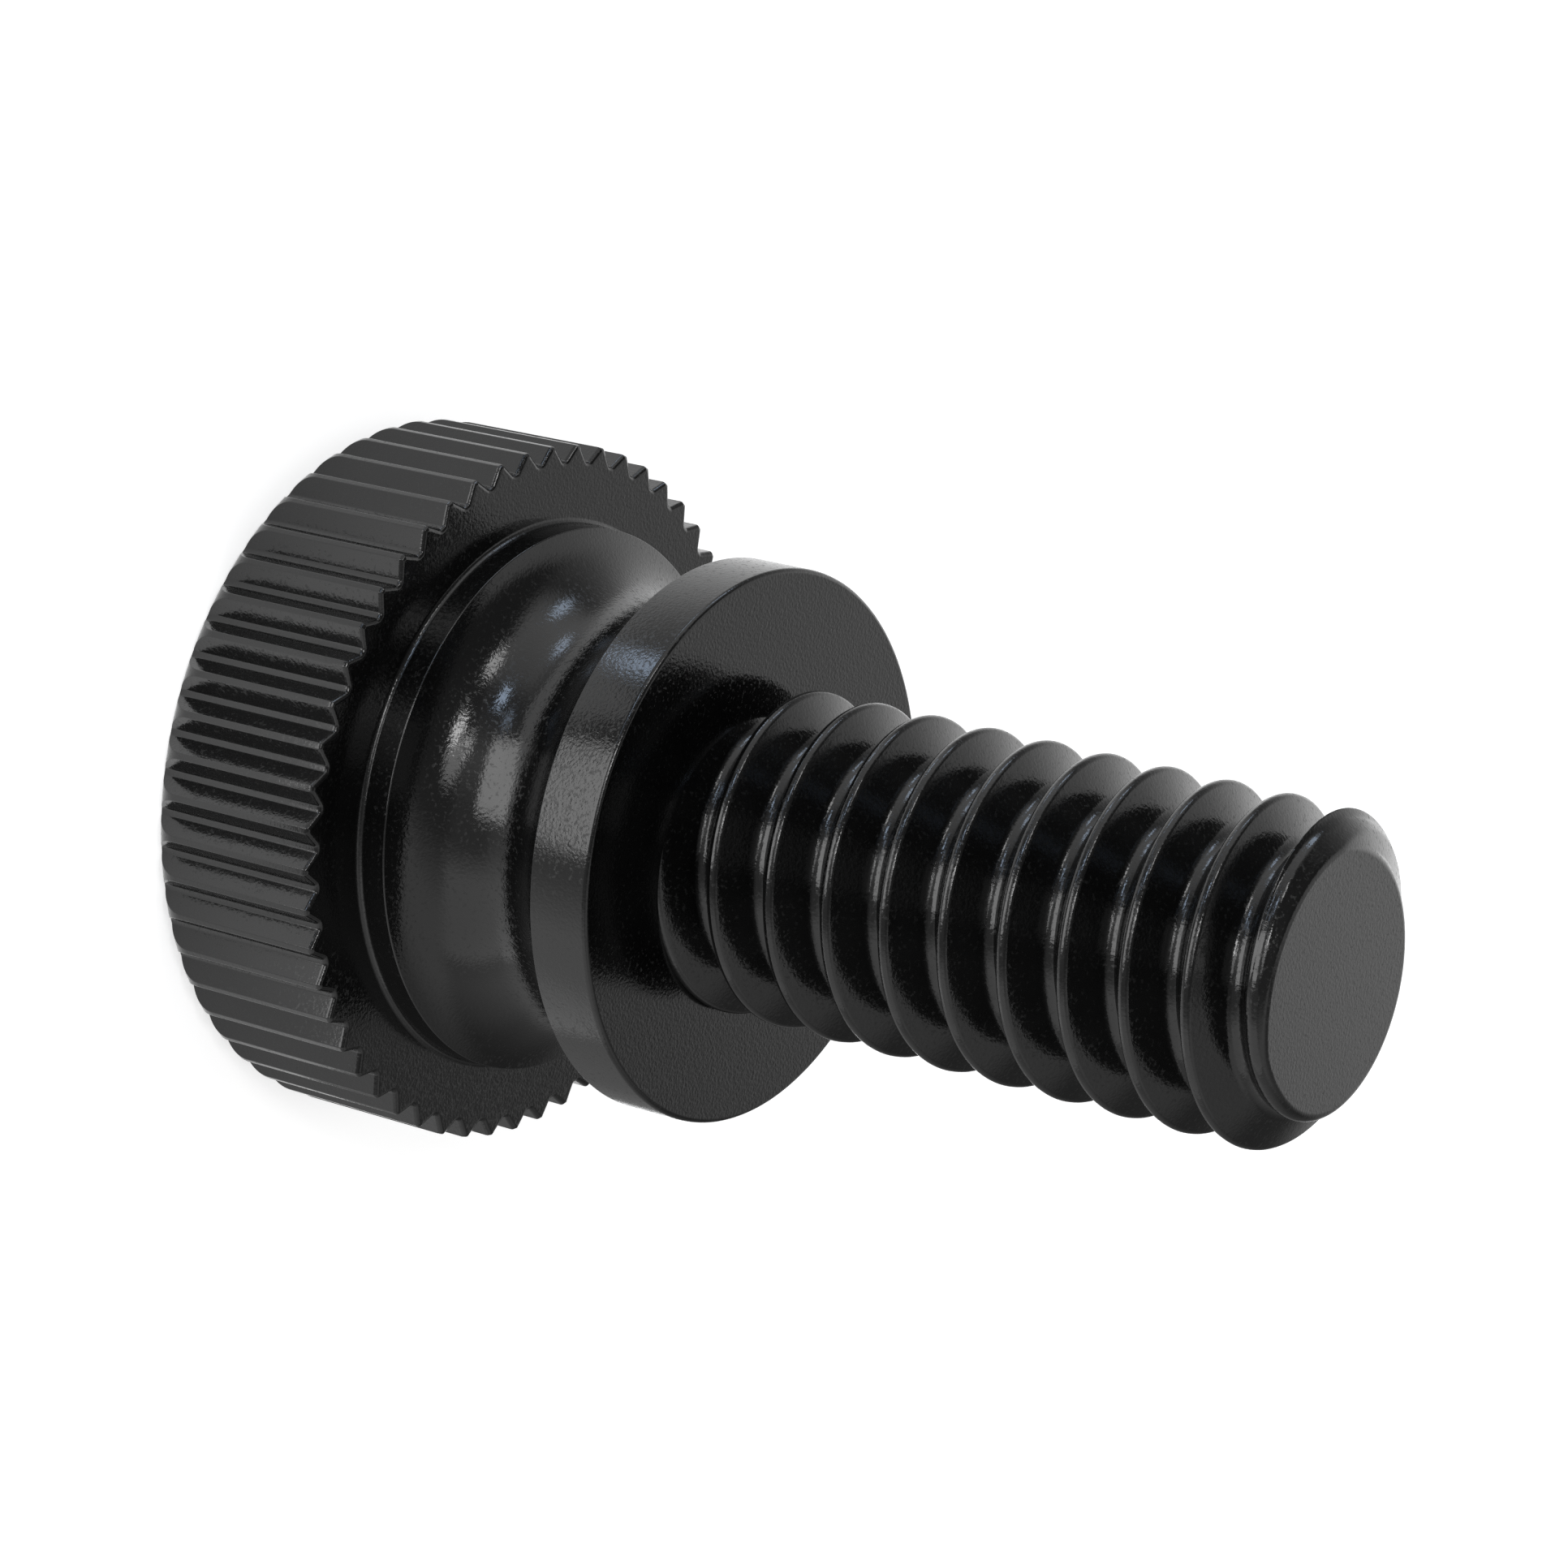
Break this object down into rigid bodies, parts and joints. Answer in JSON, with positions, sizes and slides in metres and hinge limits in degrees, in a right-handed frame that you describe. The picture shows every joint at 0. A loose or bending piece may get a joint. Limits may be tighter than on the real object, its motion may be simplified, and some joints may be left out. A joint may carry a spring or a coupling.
{
  "type": "knurled thumb screw",
  "caption": "One-piece plastic thumb screw: straight-knurled disc head, coved neck, flat bearing collar and a coarse right-hand thread with a chamfered tip.",
  "frame": {"origin": "on the screw's axis, in the middle of the flat end face of the head, on which it stands", "axes": "+Z along the axis from the head to the thread tip; +X through the crest of one knurl tooth"},
  "size_m": [0.0138, 0.0138, 0.022],
  "materials": {
    "body": "glossy black moulded plastic with a very fine grain"
  },
  "bodies": {
    "root": {"thumb_screw": "body"}
  },
  "joints": []
}
